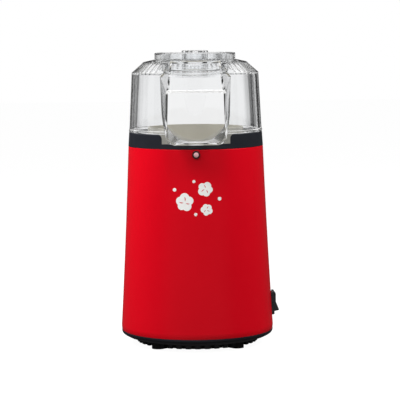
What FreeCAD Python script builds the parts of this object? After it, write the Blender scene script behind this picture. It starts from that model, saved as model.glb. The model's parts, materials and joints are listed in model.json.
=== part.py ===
import FreeCAD, Part
import math
import os

# Hot-air popcorn maker. Millimetres, +Z up. The origin is on the body's axis at the surface it stands on.
# The chute faces -Y, the power switch is on the +X side and the cord enters at the back, +Y.

V = FreeCAD.Vector
X_AXIS = V(1, 0, 0)
Y_AXIS = V(0, 1, 0)
Z_AXIS = V(0, 0, 1)
FRONT = V(0, -1, 0)
CENTRE = V(0, 0, 0)

# Driving dimensions ---------------------------------------------------------------------------

FIT = 0.05              # radial gap of a running fit or of a screw in its hole
CLEAR = 0.4             # gap between parts that lift or swing past each other
R_SCREW = 1.5
R_SCREW_HOLE = R_SCREW + FIT
SCREW_HEAD = (2.8, 1.8)     # each head: radius and height
COLLAR_SCREW_HEAD = (2.3, 1.8)
CHAMBER_SCREW_HEAD = (1.65, 1.4)
MOTOR_SCREW_HEAD = (2.6, 1.5)
CROSS_WIDTH = 0.8
CROSS_DEPTH = 0.9
CROSS_REACH = 1.3          # from the screw's middle to a cross arm's end

# outer housing: a tall tapered shell, slightly waisted, with an inward flange at its top
HOUSING_BOTTOM = 14.0
HOUSING_TOP = 196.6
HOUSING_WALL = 2.2
R_LIP = 74.9            # rounded lower lip
R_FOOT = 75.4           # widest place
Z_FOOT = 19.0
R_WAIST = 71.4
Z_WAIST = 89.7
R_TOP = 66.6
R_FLANGE_HOLE = 55.5
EDGE = 0.9              # small rounding of moulded edges
R_BOSS = 4.0
BOSS_RIB = 3.0

# base pan, foot ring and air inlets
PAN_FLOOR_BOTTOM = 6.6
PAN_FLOOR_TOP = 9.0
R_PAN_FLOOR = 62.0
PAN_BELLY = (68.5, 7.7)     # (radius, height) of the places that the pan's outline runs through
PAN_TURN = (73.6, 10.2)
PAN_SHOULDER = (74.9, 11.8)
R_PAN_RIM = 75.2
R_PAN_SPIGOT_OUT = 73.0
R_PAN_SPIGOT_IN = 71.0
PAN_INNER_FOOT = (71.0, 12.6)
PAN_INNER_TURN = (69.5, 11.2)
PAN_SPIGOT_TOP = 21.0
R_FIN_OUT = 60.0
R_FIN_IN = 56.5
FIN_BOTTOM = 2.2
R_INLET_IN = 48.5
FIN_PITCH = 9.0         # degrees
FIN_GAP = 4.4           # width of a gap between fins
R_FOOT_RING_OUT = 46.0
R_FOOT_RING_IN = 42.0
PAD_WIDTH = 13.0
R_PAD_END = 61.0
PAD_ANGLES = (45, 135, 225, 315)
BASE_SCREW_ANGLES = (20, 160, 200, 340)
R_BASE_SCREW = 64.0
R_BASE_SCREW_RECESS = 3.3
BASE_SCREW_SEAT = 8.4
BASE_SCREW_TIP = 28.0
BOSS_TOP = 34.0

# collar ring under the dome
COLLAR_TOP = 210.5
R_COLLAR_TOP = 65.7
R_COLLAR_BORE = 64.3
R_COLLAR_LEDGE = 59.8
LEDGE_TOP = 201.0
NOTCH_ROUND = 4.0
COLLAR_SCREW_ANGLES = (20, 110, 160, 200, 340)
R_COLLAR_SCREW = 62.0

# clear dome
DOME_WALL = 3.0
SHOULDER_WALL = 2.4
BEAD_TOP = 213.8
R_BEAD = 65.9
BEAD_ROUND = 0.5
R_DOME_BOTTOM = 65.3
R_DOME_TOP = 62.5
Z_DOME_TOP = 268.5
DOME_TOP_ROUND = 0.6
R_SHOULDER = 50.8
Z_SHOULDER = 279.0
SHOULDER_ROUND = 0.7
R_NECK_FOOT = 40.8
Z_NECK_FOOT = 281.2
R_NECK = 38.0
R_FILL_HOLE = 35.0
NECK_TOP = 286.0
R_SPIGOT = 63.9
SPIGOT_BOTTOM = 204.0
FLUTE_COUNT = 56
R_FLUTE = 1.3
FLUTE_FREE_ANGLE = 36   # each side of the front, where the hood stands
FLUTE_OUTER = (60.9, 270.4)     # (radius, height) of a flute's two ends
FLUTE_INNER = (52.4, 278.1)

# chute: a hood over a trough, on the front of the dome
CHUTE_BACK = -34.0
HOOD_BACK = -50.0
CHUTE_FRONT = -90.0
CHUTE_WALL = 2.1
CHUTE_ROOF = (280.7, 253.6)         # each pair: at the hood's back, and at the mouth
CHUTE_ROOF_HALF = (24.0, 27.2)
CHUTE_EAVES = (266.5, 252.2)
CHUTE_EAVES_HALF = (34.4, 28.3)
CHUTE_FOOT_HALF = (33.2, 29.4)
CHUTE_FLOOR = (202.6, 202.0)
CHUTE_CORNER = (30.0, 10.0)
R_TROUGH_CUT = 48.2     # the trough ends here, clear of the popping chamber
Z_ARCH = 264.0          # the dome's wall hangs down to here inside the hood

# measuring cup, which closes the dome's filling hole
R_CUP_RIM = 39.8
CUP_RIM_BOTTOM = 281.7
CUP_RIM_TOP = 287.9
R_CUP_TOP = 34.4
R_CUP_FOOT = 32.6
Z_CUP_FOOT = 268.0
R_POST = 13.0
Z_CUP_BOTTOM = 263.0
R_CUP_BOWL = 23.5
CUP_BOWL_DROP = 1.3     # the bowl's underside at R_CUP_BOWL, above its lowest place
POST_TOP = 290.0
CUP_WALL = 1.8

# popping chamber and its mounting
R_CHAMBER = 47.2
CHAMBER_WALL = 1.2
CHAMBER_BOTTOM = 140.0
CHAMBER_RIM = 215.0
CHAMBER_ROUND = 9.0
R_SPOUT = 33.0          # U-shaped cut at the front of the rim
Z_SPOUT = 204.8
CHAMBER_CROWN = 6.0     # rise of the chamber's floor towards its middle
LOUVRE_COUNT = 20
LOUVRE_LENGTH = 14.0
LOUVRE_WIDTH = 2.2
LOUVRE_SLANT = 35.0     # degrees from upright
LOUVRE_MIDDLE = 158.0
GASKET_TOP = 197.6
RING_TOP = 199.0
R_CHAMBER_RING = 58.6
RING_COLLAR = 9.0       # height of the ring's upright collar
CHAMBER_SCREW_ANGLES = (90, 210, 330)
R_CHAMBER_SCREW = 56.9

# hot air duct and fan housing
R_DUCT = 54.0
DUCT_WALL = 1.0
DUCT_BOTTOM = 120.0
DUCT_TOP = 196.6
R_DUCT_FLANGE = 62.0
FAN_HOUSING_BOTTOM = 88.0
FAN_WALL = 2.2
R_FAN_BORE = 46.0
FLANGE_THICK = 2.0
R_DUCT_SCREW = 59.0
DUCT_SCREW_ANGLES = (15, 105, 195, 285)
R_AIR_EYE = 30.0        # air eye in the fan housing's floor
R_MOTOR_SEAT = 21.0
SPOKE_WIDTH = 5.0
SPOKE_ANGLES = (45, 135, 225, 315)

# impeller and motor
R_SHAFT = 1.6
SHAFT_BOTTOM = 40.6
SHAFT_TOP = 110.5
R_MOTOR = 18.0
MOTOR_BOTTOM = 46.0
MOTOR_TOP = 88.0
MOTOR_WALL = 1.4
MOTOR_END_WALL = 1.6
R_BEARING = 5.0
BEARING_HEIGHT = 3.0
END_CAP = 1.5
R_MOTOR_SCREW = 12.5
MOTOR_SCREW_ANGLES = (0, 180)
MAGNET_BOTTOM = 52.0
MAGNET_TOP = 80.0
MAGNET_GAP = 8.0
ROTOR_GAP = 0.8         # air gap between armature and magnets
R_ROTOR = 11.5
CORE_BOTTOM = 54.0
CORE_TOP = 78.0
ROTOR_SLOT = 3.2
R_SLOT_FLOOR = 4.5
R_WINDING = 9.0
WINDING = 3.0           # how far the windings stand past the core
R_COMMUTATOR = 3.6
COMMUTATOR_BOTTOM = 47.5
MOTOR_TAB_X = 11.0
MOTOR_TAB_WIDTH = 3.0
R_IMPELLER = 41.0
IMPELLER_BOTTOM = 94.0
IMPELLER_TOP = 109.0
R_HUB = 6.0
BLADE_COUNT = 14
BLADE_THICK = 1.4
R_BLADE = 32.0          # curve of a blade
BLADE_CENTRE = (24.0, -28.0)
R_BLADE_ROOT = 15.0
SHROUD_WIDTH = 8.0
SHROUD_THICK = 1.2

# heater
HEATER_TOP = 136.0
HEATER_Z = 129.0
R_COIL_WIRE = 1.5
COIL_INNER = 20.0
COIL_PITCH = 8.0
COIL_HALF_TURNS = 6
MICA = 1.6
CONTROL_Z = 150.0       # middle of the thermostat and the fuse on the duct
THERMOSTAT_ANGLE = 135
R_THERMOSTAT = 8.0
THERMOSTAT_HEIGHT = 4.5
R_THERMOSTAT_CAP = 6.5
THERMOSTAT_CAP = 2.5
TAB_WIDTH = 3.0
TAB_THICK = 0.8
TAB_SPACING = 7.0
FUSE_ANGLE = 60
R_FUSE = 2.0
FUSE_LENGTH = 12.0
R_FUSE_LEAD = 0.6
FUSE_LEAD_LENGTH = 24.0

# power switch on the +X side
SWITCH_Z = 38.8
SWITCH_X = 74.3         # rocker's pivot
BEZEL_X = 77.0
BEZEL_SEAT = 74.4
BEZEL_HALF_HEIGHT = 11.6
BEZEL_HALF_WIDTH = 8.0
SWITCH_WALL = 0.6
MOUTH_HALF_HEIGHT = 10.2
MOUTH_HALF_WIDTH = 6.1
ROCKER_HALF_HEIGHT = 8.8
ROCKER_HALF_WIDTH = 5.7
ROCKER_TILT = 11.0      # degrees each side of the middle
ROCKER_FACE = 4.2       # the rocker's middle, out from its pivot
ROCKER_SHOULDER = 0.6
ROCKER_TAIL = (3.5, 2.6)    # depth behind the pivot, and half height there
R_TRUNNION = 1.2
PIN_END = 6.6
WINDOW_GAP = 0.3
SWITCH_CASE_X = 59.0
SWITCH_MOUTH_X = 66.5
TERMINAL_X = 51.5
TERMINAL_HALF_WIDTH = 2.4
TERMINAL_RISES = (-6, 0, 6)

# indicator lamp at the front
LAMP_Z = 191.4
LAMP_SEAT = 66.5
R_LAMP_BEZEL = 3.85
R_LAMP_TUBE = 3.1
R_LAMP = 2.45
LAMP_FLANGE = 1.3
LAMP_TUBE_END = 61.0
LAMP_END = 57.0
LAMP_STAND = 0.4        # how far the lens's foot stands past the seat

# cord gland at the back
GLAND_Z = 30.0
GLAND_SEAT = 74.2
R_GLAND_FLANGE = 8.5
R_GLAND = 5.9
R_CORD_BORE = 3.4
GLAND_INSIDE = 66.0
GLAND_OUTSIDE = 79.0
GLAND_FLANGE = 2.4
GLAND_TAPER = 0.6
GLAND_NUT = 1.6
GLAND_NUT_THICK = 4.0

# electrical parts
BOARD_Z = 34.0
BOARD_THICK = 1.6
R_BOARD = 16.0
R_BOARD_HOLE = 6.0
DIODE_ANGLES = (30, 75, 120, 165)
R_DIODE_CIRCLE = 11.0
R_DIODE = 2.2
DIODE_LENGTH = 6.5
BLOCK_X = -32.0
BLOCK_Y = 22.0
BLOCK_HALF_LENGTH = 13.0
BLOCK_HALF_WIDTH = 6.0
BLOCK_HEIGHT = 12.0
BLOCK_HOLES = (-8, 0, 8)
R_BLOCK_HOLE = 2.2
R_BLOCK_SCREW = 1.9
BLOCK_SCREW_LENGTH = 5.0
R_WIRE = 1.1

BIG = 400.0             # larger than the whole object


# Helpers --------------------------------------------------------------------------------------

def outline(steps):
    """A closed wire in the XZ plane. A step is (r, z), or ((r, z) on the way, (r, z)) for an arc."""
    def point(pair):
        return V(pair[0], 0, pair[1])

    edges = []
    here = point(steps[0])
    for step in steps[1:] + [steps[0]]:
        if isinstance(step[0], tuple):
            there = point(step[1])
            edges.append(Part.Arc(here, point(step[0]), there).toShape())
        else:
            there = point(step)
            edges.append(Part.LineSegment(here, there).toShape())
        here = there
    return Part.Wire(edges)


def turned(steps):
    """A solid of revolution about Z from the outline's steps."""
    return Part.Face(outline(steps)).revolve(CENTRE, Z_AXIS, 360)


def disc(radius, bottom, top):
    return Part.makeCylinder(radius, top - bottom, V(0, 0, bottom), Z_AXIS)


def tube(outer, inner, bottom, top):
    return disc(outer, bottom, top).cut(disc(inner, bottom - 1, top + 1))


def block(x0, x1, y0, y1, z0, z1):
    return Part.makeBox(x1 - x0, y1 - y0, z1 - z0, V(x0, y0, z0))


def rod(start, direction, radius, length):
    return Part.makeCylinder(radius, length, start, direction)


def post(x, y, radius, bottom, top):
    return rod(V(x, y, bottom), Z_AXIS, radius, top - bottom)


def spun(shape, angle):
    copy = shape.copy()
    copy.rotate(CENTRE, Z_AXIS, angle)
    return copy


def around(shape, angles):
    """Copies of a shape turned about Z, as a list."""
    return [spun(shape, angle) for angle in angles]


def even_angles(count):
    return [360.0 * i / count for i in range(count)]


def joined(shapes):
    return shapes[0].multiFuse(shapes[1:]).removeSplitter()


def loose(shapes):
    """Separate solids kept in one node."""
    return Part.makeCompound(shapes)


def screw(x, y, head_z, tip_z, head=SCREW_HEAD):
    """A cross-head screw. Its head sits on head_z and its tip points to tip_z."""
    way = 1 if tip_z > head_z else -1
    seat = V(x, y, head_z)
    radius, height = head
    top = rod(seat, V(0, 0, -way), radius, height)
    shank = rod(seat, V(0, 0, way), R_SCREW, abs(tip_z - head_z))
    face = head_z - way * height
    low, high = sorted((face, face + way * CROSS_DEPTH))
    half = CROSS_WIDTH / 2
    cross = [
        block(x - CROSS_REACH, x + CROSS_REACH, y - half, y + half, low, high),
        block(x - half, x + half, y - CROSS_REACH, y + CROSS_REACH, low, high),
    ]
    return top.fuse(shank).cut(cross).removeSplitter()


def polar(radius, angle):
    return radius * math.cos(math.radians(angle)), radius * math.sin(math.radians(angle))


def drilled(shape, places, bottom, top):
    """The shape with a screw hole at each place."""
    return shape.cut([post(x, y, R_SCREW_HOLE, bottom, top) for x, y in places])


def wire_tube(points, radius):
    """A round tube along straight runs joined by tangent arcs."""
    places = [V(*p) for p in points]
    edges = []
    here = places[0]
    for before, corner, after in zip(places, places[1:], places[2:]):
        back = (before - corner).normalize()
        ahead = (after - corner).normalize()
        half_turn = (math.pi - back.getAngle(ahead)) / 2
        reach = 0.45 * min((before - corner).Length, (after - corner).Length)
        bend = reach / math.tan(half_turn)
        start = corner + back * reach
        end = corner + ahead * reach
        inward = (back + ahead).normalize()
        middle = corner + inward * (math.hypot(bend, reach) - bend)
        edges.append(Part.LineSegment(here, start).toShape())
        edges.append(Part.Arc(start, middle, end).toShape())
        here = end
    edges.append(Part.LineSegment(here, places[-1]).toShape())
    path = Part.Wire(edges)
    section = Part.Wire(Part.Circle(places[0], places[1] - places[0], radius).toShape())
    return path.makePipeShell([section], True, False)


# Housing, collar and base ---------------------------------------------------------------------

def base_screw_places():
    return [polar(R_BASE_SCREW, angle) for angle in BASE_SCREW_ANGLES]


def collar_screw_places():
    return [polar(R_COLLAR_SCREW, angle) for angle in COLLAR_SCREW_ANGLES]


def chamber_screw_places():
    return [polar(R_CHAMBER_SCREW, angle) for angle in CHAMBER_SCREW_ANGLES]


def outer_housing():
    inner_foot = R_FOOT - HOUSING_WALL
    inner_waist = R_WAIST - HOUSING_WALL
    inner_top = R_TOP - HOUSING_WALL
    flange_bottom = HOUSING_TOP - HOUSING_WALL
    corner = EDGE * (1 - math.sqrt(0.5))
    shell = turned([
        (R_LIP, HOUSING_BOTTOM),
        ((R_FOOT - 0.1, HOUSING_BOTTOM + 2), (R_FOOT, Z_FOOT)),
        ((R_WAIST, Z_WAIST), (R_TOP, HOUSING_TOP - EDGE)),
        ((R_TOP - corner, HOUSING_TOP - corner), (R_TOP - EDGE, HOUSING_TOP)),
        (R_FLANGE_HOLE, HOUSING_TOP),
        (R_FLANGE_HOLE, flange_bottom),
        (inner_top, flange_bottom),
        ((inner_waist, Z_WAIST), (inner_foot, Z_FOOT)),
        (inner_foot, HOUSING_BOTTOM),
    ])
    bosses = [post(x, y, R_BOSS, PAN_FLOOR_TOP + 1, BOSS_TOP) for x, y in base_screw_places()]
    rib = block(R_BASE_SCREW, R_FOOT - 1, -BOSS_RIB / 2, BOSS_RIB / 2, PAN_SPIGOT_TOP + 2, BOSS_TOP)
    shell = joined([shell] + bosses + around(rib, BASE_SCREW_ANGLES))
    shell = drilled(shell, base_screw_places(), 0, BOSS_TOP - R_BOSS)
    flange_holes = collar_screw_places() + chamber_screw_places()
    shell = drilled(shell, flange_holes, flange_bottom - 1, HOUSING_TOP + 1)
    return shell.cut([switch_cutout(), lamp_cutout(), gland_cutout()])


def switch_box(half_width, half_height, x0, x1):
    """A block about the switch's middle."""
    return block(x0, x1, -half_width, half_width, SWITCH_Z - half_height, SWITCH_Z + half_height)


def switch_cutout():
    """The switch's window and the flat that its bezel sits on."""
    window_half = MOUTH_HALF_WIDTH + SWITCH_WALL + FIT
    window = switch_box(window_half, MOUTH_HALF_HEIGHT + WINDOW_GAP, SWITCH_CASE_X, BIG)
    flat = switch_box(BEZEL_HALF_WIDTH + WINDOW_GAP, BEZEL_HALF_HEIGHT + WINDOW_GAP, BEZEL_SEAT, BIG)
    return window.fuse(flat)


def lamp_cutout():
    hole = rod(V(0, -LAMP_END, LAMP_Z), FRONT, R_LAMP_TUBE, BIG)
    flat = rod(V(0, -LAMP_SEAT, LAMP_Z), FRONT, R_LAMP_BEZEL + FIT, BIG)
    return hole.fuse(flat)


def gland_cutout():
    hole = rod(V(0, GLAND_INSIDE, GLAND_Z), Y_AXIS, R_GLAND, BIG)
    flat = rod(V(0, GLAND_SEAT, GLAND_Z), Y_AXIS, R_GLAND_FLANGE + FIT, BIG)
    return hole.fuse(flat)


def gap_angles():
    """The middles of the gaps between the fins."""
    return [FIN_PITCH * (i + 0.5) for i in range(int(360 / FIN_PITCH))]


def inlet_angles():
    """The gaps that have an air inlet beside them: all but those at the foot pads."""
    return [a for a in gap_angles() if min(abs(a - pad) for pad in PAD_ANGLES) > FIN_PITCH]


def base_pan():
    pan = turned([
        (0, PAN_FLOOR_BOTTOM),
        (R_PAN_FLOOR, PAN_FLOOR_BOTTOM),
        (PAN_BELLY, PAN_TURN),
        (PAN_SHOULDER, (R_PAN_RIM, HOUSING_BOTTOM)),
        (R_PAN_SPIGOT_OUT, HOUSING_BOTTOM),
        (R_PAN_SPIGOT_OUT, PAN_SPIGOT_TOP),
        (R_PAN_SPIGOT_IN, PAN_SPIGOT_TOP),
        PAN_INNER_FOOT,
        PAN_INNER_TURN,
        (R_PAN_FLOOR, PAN_FLOOR_TOP),
        (0, PAN_FLOOR_TOP),
    ])
    fins = tube(R_FIN_OUT, R_FIN_IN, FIN_BOTTOM, PAN_FLOOR_BOTTOM)
    gap = block(R_FIN_IN - 1, R_FIN_OUT + 1, -FIN_GAP / 2, FIN_GAP / 2, FIN_BOTTOM - 1, PAN_FLOOR_BOTTOM)
    half = PAD_WIDTH / 2 + 1
    pad_room = block(0, R_FIN_OUT + 2, -half, half, FIN_BOTTOM - 1, PAN_FLOOR_BOTTOM)
    fins = fins.cut(around(gap, gap_angles()) + around(pad_room, PAD_ANGLES))
    slot = block(R_INLET_IN, R_FIN_IN, -FIN_GAP / 2, FIN_GAP / 2, 0, PAN_FLOOR_TOP + 1)
    pan = joined([pan] + fins.Solids).cut(around(slot, inlet_angles()))
    for x, y in base_screw_places():
        recess = post(x, y, R_BASE_SCREW_RECESS, 0, BASE_SCREW_SEAT)
        boss_room = post(x, y, R_BOSS + CLEAR / 2, PAN_FLOOR_TOP + 1, PAN_SPIGOT_TOP)
        pan = pan.cut([recess, boss_room])
    return drilled(pan, base_screw_places(), 0, PAN_SPIGOT_TOP)


def foot_ring():
    """One rubber ring with four pads. Its underside is one flat face on the surface it stands on."""
    half = PAD_WIDTH / 2
    arm = block(R_FOOT_RING_IN + 1, R_PAD_END - half, -half, half, 0, PAN_FLOOR_BOTTOM)
    end = post(R_PAD_END - half, 0, half, 0, PAN_FLOOR_BOTTOM)
    ring = tube(R_FOOT_RING_OUT, R_FOOT_RING_IN, 0, PAN_FLOOR_BOTTOM)
    return joined([ring] + around(arm, PAD_ANGLES) + around(end, PAD_ANGLES))


def base_screws():
    return loose([screw(x, y, BASE_SCREW_SEAT, BASE_SCREW_TIP) for x, y in base_screw_places()])


def collar_ring():
    ring = turned([
        (R_TOP, HOUSING_TOP),
        (R_COLLAR_TOP + 0.05, COLLAR_TOP - EDGE),
        ((R_COLLAR_TOP - 0.3, COLLAR_TOP - 0.3), (R_COLLAR_TOP - EDGE / 2, COLLAR_TOP)),
        (R_COLLAR_BORE, COLLAR_TOP),
        (R_COLLAR_BORE, LEDGE_TOP),
        (R_COLLAR_LEDGE, LEDGE_TOP),
        (R_COLLAR_LEDGE, HOUSING_TOP),
    ])
    hole_top = (HOUSING_TOP + LEDGE_TOP) / 2 + 1
    return drilled(ring.cut(collar_notch()), collar_screw_places(), HOUSING_TOP - 1, hole_top)


def collar_notch():
    """The opening in the collar's front that the chute passes through, with rounded upper corners."""
    floor = LEDGE_TOP + CLEAR / 2
    rim = COLLAR_TOP
    bulge = NOTCH_ROUND * math.sqrt(0.5)

    def section(y):
        side = between(y, CHUTE_FOOT_HALF) + CLEAR
        out = side + NOTCH_ROUND
        left_mid = (-out + bulge, rim - NOTCH_ROUND + bulge)
        right_mid = (out - bulge, rim - NOTCH_ROUND + bulge)
        wire = outline([
            (-side, floor),
            (side, floor),
            (side, rim - NOTCH_ROUND),
            (right_mid, (out, rim)),
            (out, rim + 5),
            (-out, rim + 5),
            (-out, rim),
            (left_mid, (-side, rim - NOTCH_ROUND)),
        ])
        wire.translate(V(0, y, 0))
        return wire

    return Part.makeLoft([section(CHUTE_BACK), section(CHUTE_FRONT)], True, True)


def collar_screws():
    seat = HOUSING_TOP - HOUSING_WALL
    tip = HOUSING_TOP + 3.0
    return loose([screw(x, y, seat, tip, COLLAR_SCREW_HEAD) for x, y in collar_screw_places()])


# Dome and measuring cup -----------------------------------------------------------------------

def between(y, pair):
    """A chute dimension that changes evenly from the hood's back to the mouth."""
    share = (y - HOOD_BACK) / (CHUTE_FRONT - HOOD_BACK)
    return pair[0] + share * (pair[1] - pair[0])


def chute_section(y, inset):
    """The chute's outline across its run: level roof, sloping upper corners, sides and rounded floor."""
    roof = between(y, CHUTE_ROOF) - inset * 1.1
    roof_half = between(y, CHUTE_ROOF_HALF) - inset * 0.8
    eaves = between(y, CHUTE_EAVES) - inset
    eaves_half = between(y, CHUTE_EAVES_HALF) - inset
    side = between(y, CHUTE_FOOT_HALF) - inset
    floor = between(y, CHUTE_FLOOR) + inset
    corner = between(y, CHUTE_CORNER) - inset * 0.5
    bulge = corner * (1 - math.sqrt(0.5))
    wire = outline([
        (-roof_half, roof),
        (roof_half, roof),
        (eaves_half, eaves),
        (side, floor + corner),
        ((side - bulge, floor + bulge), (side - corner, floor)),
        (-side + corner, floor),
        ((-side + bulge, floor + bulge), (-side, floor + corner)),
        (-eaves_half, eaves),
    ])
    wire.translate(V(0, y, 0))
    return wire


def chute_solid(inset, front):
    return Part.makeLoft([chute_section(CHUTE_BACK, inset), chute_section(front, inset)], True, True)


def dome_envelope():
    """The dome's outer form as a solid, with the spigot that drops into the collar."""
    return turned([
        (0, SPIGOT_BOTTOM),
        (R_SPIGOT, SPIGOT_BOTTOM),
        (R_SPIGOT, COLLAR_TOP),
        (R_BEAD - BEAD_ROUND, COLLAR_TOP),
        ((R_BEAD, (COLLAR_TOP + BEAD_TOP) / 2), (R_BEAD - BEAD_ROUND, BEAD_TOP - BEAD_ROUND / 2)),
        (R_DOME_BOTTOM, BEAD_TOP),
        (R_DOME_TOP, Z_DOME_TOP - DOME_TOP_ROUND),
        ((R_DOME_TOP - 0.1, Z_DOME_TOP), (R_DOME_TOP - DOME_TOP_ROUND, Z_DOME_TOP + DOME_TOP_ROUND)),
        (R_SHOULDER + SHOULDER_ROUND, Z_SHOULDER - SHOULDER_ROUND),
        ((R_SHOULDER, Z_SHOULDER - 0.1), (R_SHOULDER - SHOULDER_ROUND, Z_SHOULDER + 0.1)),
        (R_NECK_FOOT, Z_NECK_FOOT),
        (R_NECK, Z_NECK_FOOT),
        (R_NECK, NECK_TOP),
        (0, NECK_TOP),
    ])


def dome_hollow():
    """The space inside the dome, open below and through the filling hole."""
    inner_bottom = R_DOME_BOTTOM - DOME_WALL
    inner_top = R_DOME_TOP - DOME_WALL
    inner_shoulder = R_SHOULDER - DOME_WALL / 3
    return turned([
        (0, SPIGOT_BOTTOM - 1),
        (inner_bottom, SPIGOT_BOTTOM - 1),
        (inner_bottom, BEAD_TOP),
        (inner_top, Z_DOME_TOP - DOME_WALL / 2),
        (inner_shoulder, Z_SHOULDER - DOME_WALL),
        (R_FILL_HOLE, Z_NECK_FOOT - SHOULDER_WALL),
        (R_FILL_HOLE, NECK_TOP + 1),
        (0, NECK_TOP + 1),
    ])


def dome_flutes():
    """Grooves along the dome's sloping shoulder."""
    start = V(FLUTE_OUTER[0], 0, FLUTE_OUTER[1])
    end = V(FLUTE_INNER[0], 0, FLUTE_INNER[1])
    groove = rod(start, end - start, R_FLUTE, (end - start).Length)
    groove = joined([groove, Part.makeSphere(R_FLUTE, start), Part.makeSphere(R_FLUTE, end)])
    angles = [a for a in even_angles(FLUTE_COUNT) if abs(a - 270) > FLUTE_FREE_ANGLE]
    return around(groove, angles)


def clear_dome():
    envelope = dome_envelope()
    behind_hood = block(-BIG, BIG, HOOD_BACK, BIG, BEAD_TOP, BIG)
    chamber_room = disc(R_TROUGH_CUT, 0, BEAD_TOP)
    hood = chute_solid(0, CHUTE_FRONT).cut([behind_hood, chamber_room])
    above_arch = envelope.common(block(-BIG, BIG, -BIG, BIG, Z_ARCH, BIG))
    passage = chute_solid(CHUTE_WALL, CHUTE_FRONT - 1).cut([behind_hood, above_arch])
    dome = envelope.fuse(hood).cut([dome_hollow(), passage])
    dome = dome.cut(dome_flutes())
    return dome.removeSplitter()


def measuring_cup():
    """An open cup with a hollow post in its middle as a grip. Its rim caps the dome's neck."""
    post_inner = R_POST - CUP_WALL
    skirt_inner = R_NECK + CLEAR
    corner = EDGE * (1 - math.sqrt(0.5))
    return turned([
        (0, POST_TOP),
        (R_POST - EDGE, POST_TOP),
        ((R_POST - corner, POST_TOP - corner), (R_POST, POST_TOP - EDGE)),
        (R_POST, Z_CUP_BOTTOM + CUP_WALL),
        ((R_CUP_BOWL, Z_CUP_BOTTOM + CUP_BOWL_DROP + CUP_WALL),
         (R_CUP_FOOT - CUP_WALL, Z_CUP_FOOT + CUP_WALL)),
        (R_CUP_TOP - CUP_WALL, CUP_RIM_TOP),
        (R_CUP_RIM - EDGE, CUP_RIM_TOP),
        ((R_CUP_RIM - corner, CUP_RIM_TOP - corner), (R_CUP_RIM, CUP_RIM_TOP - EDGE)),
        (R_CUP_RIM, CUP_RIM_BOTTOM),
        (skirt_inner, CUP_RIM_BOTTOM),
        (skirt_inner, NECK_TOP),
        (R_CUP_TOP, NECK_TOP),
        (R_CUP_FOOT, Z_CUP_FOOT),
        ((R_CUP_BOWL, Z_CUP_BOTTOM + CUP_BOWL_DROP), (R_POST, Z_CUP_BOTTOM)),
        (post_inner, Z_CUP_BOTTOM),
        (post_inner, POST_TOP - CUP_WALL),
        (0, POST_TOP - CUP_WALL),
    ])


# Popping chamber and its mounting -------------------------------------------------------------

def popping_chamber():
    inner = R_CHAMBER - CHAMBER_WALL
    big = CHAMBER_ROUND
    small = CHAMBER_ROUND - CHAMBER_WALL
    bend = 1 - math.sqrt(0.5)
    cup = turned([
        (0, CHAMBER_BOTTOM + CHAMBER_CROWN),
        (R_CHAMBER - big, CHAMBER_BOTTOM),
        ((R_CHAMBER - big * bend, CHAMBER_BOTTOM + big * bend), (R_CHAMBER, CHAMBER_BOTTOM + big)),
        (R_CHAMBER, CHAMBER_RIM),
        (inner, CHAMBER_RIM),
        (inner, CHAMBER_BOTTOM + big),
        ((inner - small * bend, CHAMBER_BOTTOM + CHAMBER_WALL + small * bend),
         (inner - small, CHAMBER_BOTTOM + CHAMBER_WALL)),
        (0, CHAMBER_BOTTOM + CHAMBER_CROWN + CHAMBER_WALL),
    ])
    middle = V(R_CHAMBER, 0, LOUVRE_MIDDLE)
    half = LOUVRE_LENGTH / 2
    louvre = block(inner - 2, R_CHAMBER + 2, -LOUVRE_WIDTH / 2, LOUVRE_WIDTH / 2,
                   LOUVRE_MIDDLE - half, LOUVRE_MIDDLE + half)
    louvre.rotate(middle, X_AXIS, LOUVRE_SLANT)
    spout = rod(V(0, 0, Z_SPOUT + R_SPOUT), FRONT, R_SPOUT, BIG)
    spout_top = block(-R_SPOUT, R_SPOUT, -BIG, 0, Z_SPOUT + R_SPOUT, BIG)
    return cup.cut(around(louvre, even_angles(LOUVRE_COUNT)) + [spout, spout_top])


def chamber_gasket():
    gasket = tube(R_CHAMBER_RING, R_DUCT - DUCT_WALL - 1, HOUSING_TOP, GASKET_TOP)
    return drilled(gasket, chamber_screw_places(), HOUSING_TOP - 1, GASKET_TOP + 1)


def chamber_ring():
    """A steel ring that grips the chamber's wall and clamps it to the housing's flange."""
    ring = turned([
        (R_CHAMBER, RING_TOP),
        (R_CHAMBER, RING_TOP - RING_COLLAR),
        (R_CHAMBER + CHAMBER_WALL, RING_TOP - RING_COLLAR),
        (R_CHAMBER + CHAMBER_WALL, GASKET_TOP),
        (R_CHAMBER_RING, GASKET_TOP),
        (R_CHAMBER_RING, RING_TOP),
    ])
    return drilled(ring, chamber_screw_places(), GASKET_TOP - 1, RING_TOP + 1)


def chamber_screws():
    tip = HOUSING_TOP - HOUSING_WALL - 1.0
    return loose([screw(x, y, RING_TOP, tip, CHAMBER_SCREW_HEAD) for x, y in chamber_screw_places()])


# Duct, fan housing and heater -----------------------------------------------------------------

def duct_screw_places():
    return [polar(R_DUCT_SCREW, angle) for angle in DUCT_SCREW_ANGLES]


def hot_air_duct():
    inner = R_DUCT - DUCT_WALL
    duct = turned([
        (inner, DUCT_BOTTOM),
        (R_DUCT_FLANGE, DUCT_BOTTOM),
        (R_DUCT_FLANGE, DUCT_BOTTOM + DUCT_WALL),
        (R_DUCT, DUCT_BOTTOM + DUCT_WALL),
        (R_DUCT, DUCT_TOP),
        (inner, DUCT_TOP),
    ])
    return drilled(duct, duct_screw_places(), DUCT_BOTTOM - 1, DUCT_BOTTOM + 3)


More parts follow.
